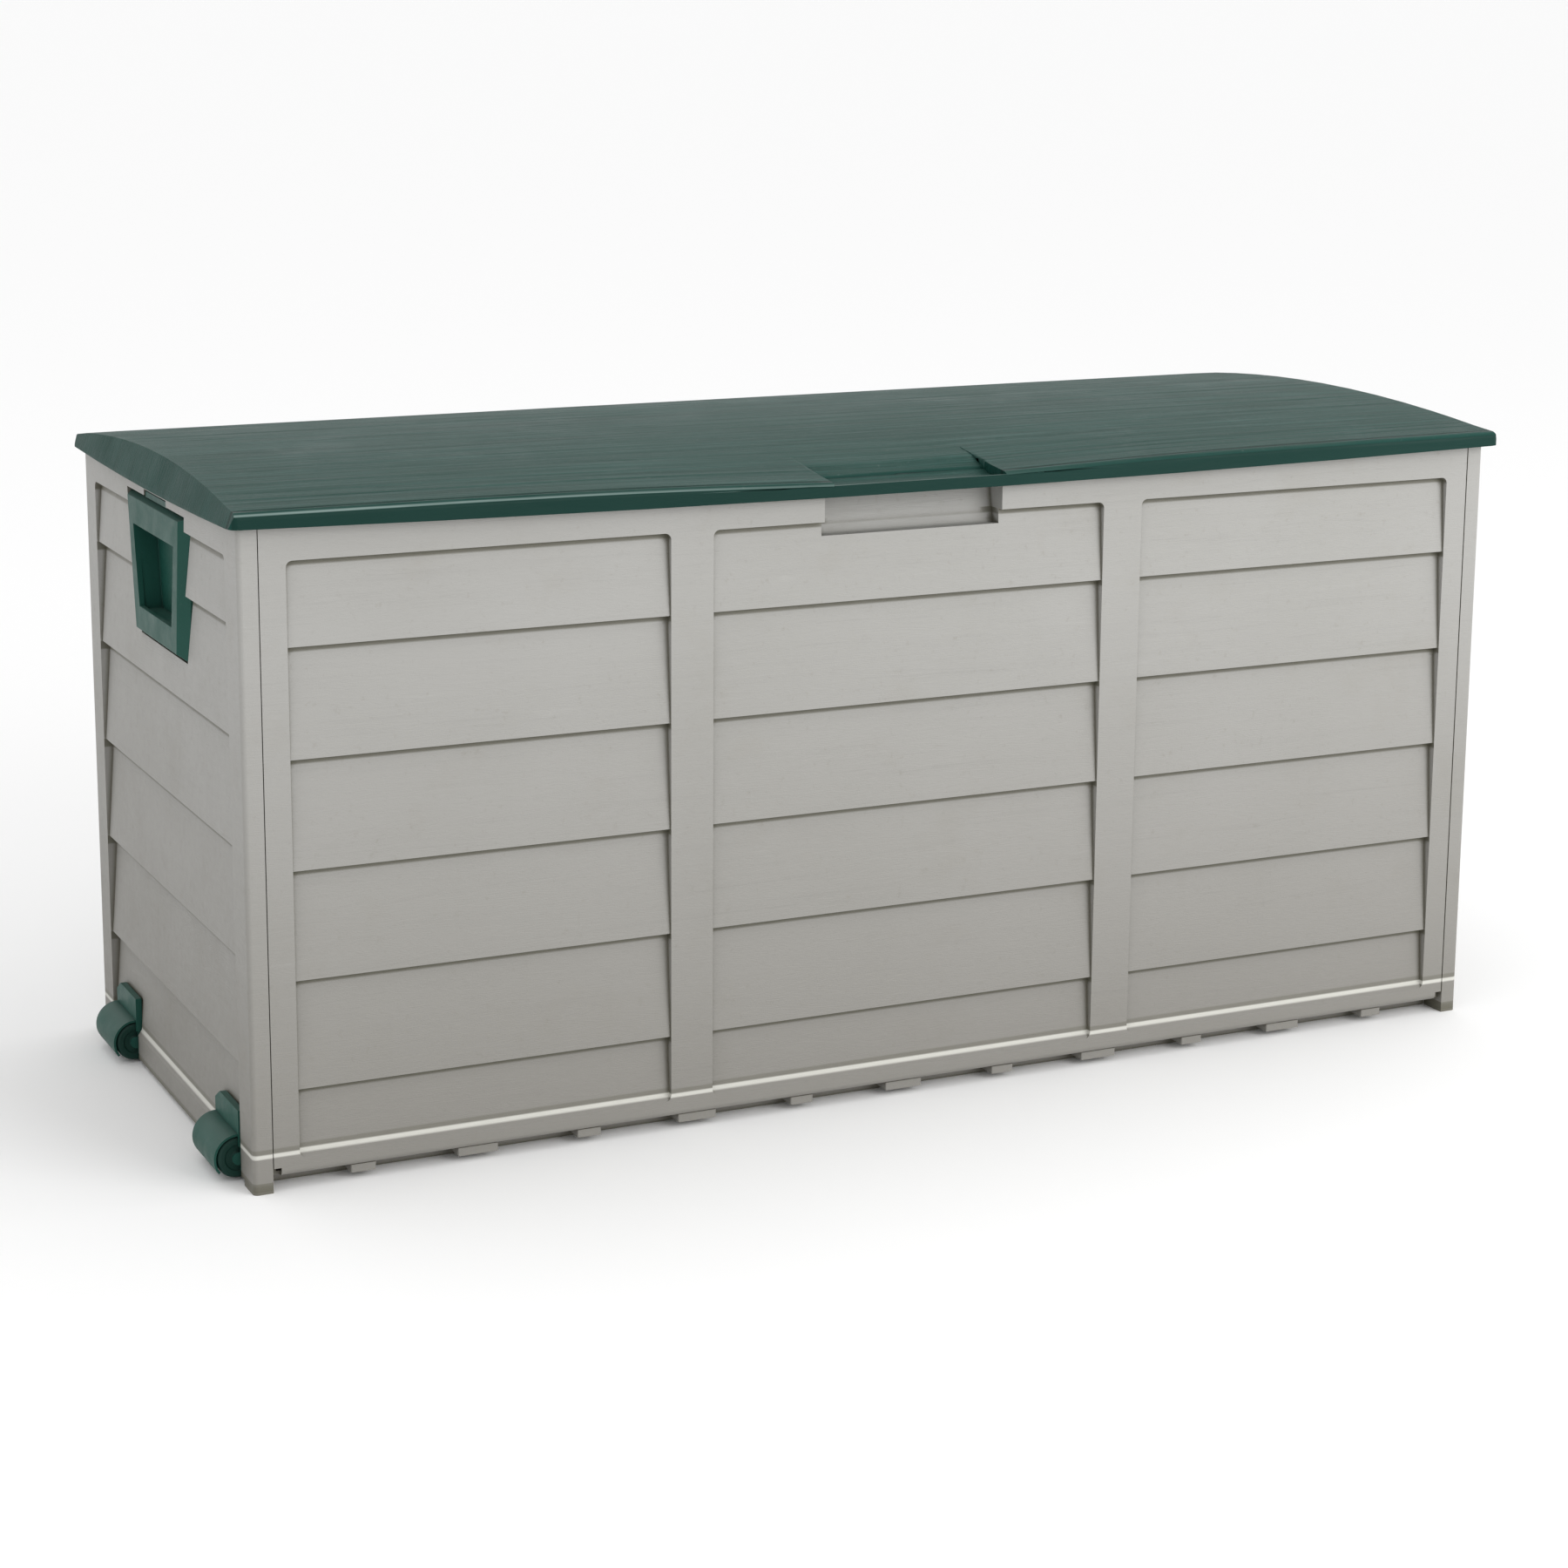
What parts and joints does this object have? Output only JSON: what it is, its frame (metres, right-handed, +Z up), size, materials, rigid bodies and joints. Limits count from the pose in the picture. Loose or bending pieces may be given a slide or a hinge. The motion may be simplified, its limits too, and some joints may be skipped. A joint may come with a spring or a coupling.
{
  "type": "deck storage box",
  "caption": "Wheeled garden deck box with lapped-board grey panels, a crowned green hinged lid, recessed handles and side rollers.",
  "frame": {"origin": "on the ground under the middle of the box, midway between the outer faces of the four posts", "axes": "+X along the box from the wheeled left side to the right side, -Y towards the front with the finger recess, +Z up"},
  "size_m": [1.1281, 0.4765, 0.5323],
  "materials": {
    "grey_panel": "warm light grey moulded polypropylene, fine texture",
    "green_lid": "dark green moulded polypropylene, satin, faint wood grain and dust",
    "green_trim": "dark green moulded polypropylene, satin",
    "wheel_green": "dark green polypropylene roller, scuffed",
    "steel": "zinc plated"
  },
  "bodies": {
    "box": {"base_floor": "grey_panel", "front_panel": "grey_panel", "back_panel": "grey_panel", "left_side_panel": "grey_panel", "right_side_panel": "grey_panel", "left_handle": "green_trim", "right_handle": "green_trim", "hinge_bracket_left": "green_trim", "hinge_bracket_centre": "green_trim", "hinge_bracket_right": "green_trim", "hinge_pin_left": "green_trim", "hinge_pin_centre": "green_trim", "hinge_pin_right": "green_trim", "hinge_screws": "steel", "housing_screws": "steel", "wheel_housing_front": "green_trim", "wheel_housing_rear": "green_trim", "axle_front": "steel", "axle_rear": "steel"},
    "lid": {"lid": "green_lid"},
    "wheel_front": {"wheel_front": "wheel_green"},
    "wheel_rear": {"wheel_rear": "wheel_green"}
  },
  "joints": [
    {"name": "lid_hinge", "type": "hinge", "parent": "box", "child": "lid", "pos_m": [0, 0.233, 0.5], "axis": [-1, 0, 0], "range_deg": [0, 100]},
    {"name": "wheel_front_spin", "type": "hinge", "parent": "box", "child": "wheel_front", "pos_m": [-0.5513, -0.16, 0.0185], "axis": [0, 1, 0], "continuous": true},
    {"name": "wheel_rear_spin", "type": "hinge", "parent": "box", "child": "wheel_rear", "pos_m": [-0.5513, 0.142, 0.0185], "axis": [0, 1, 0], "continuous": true}
  ]
}
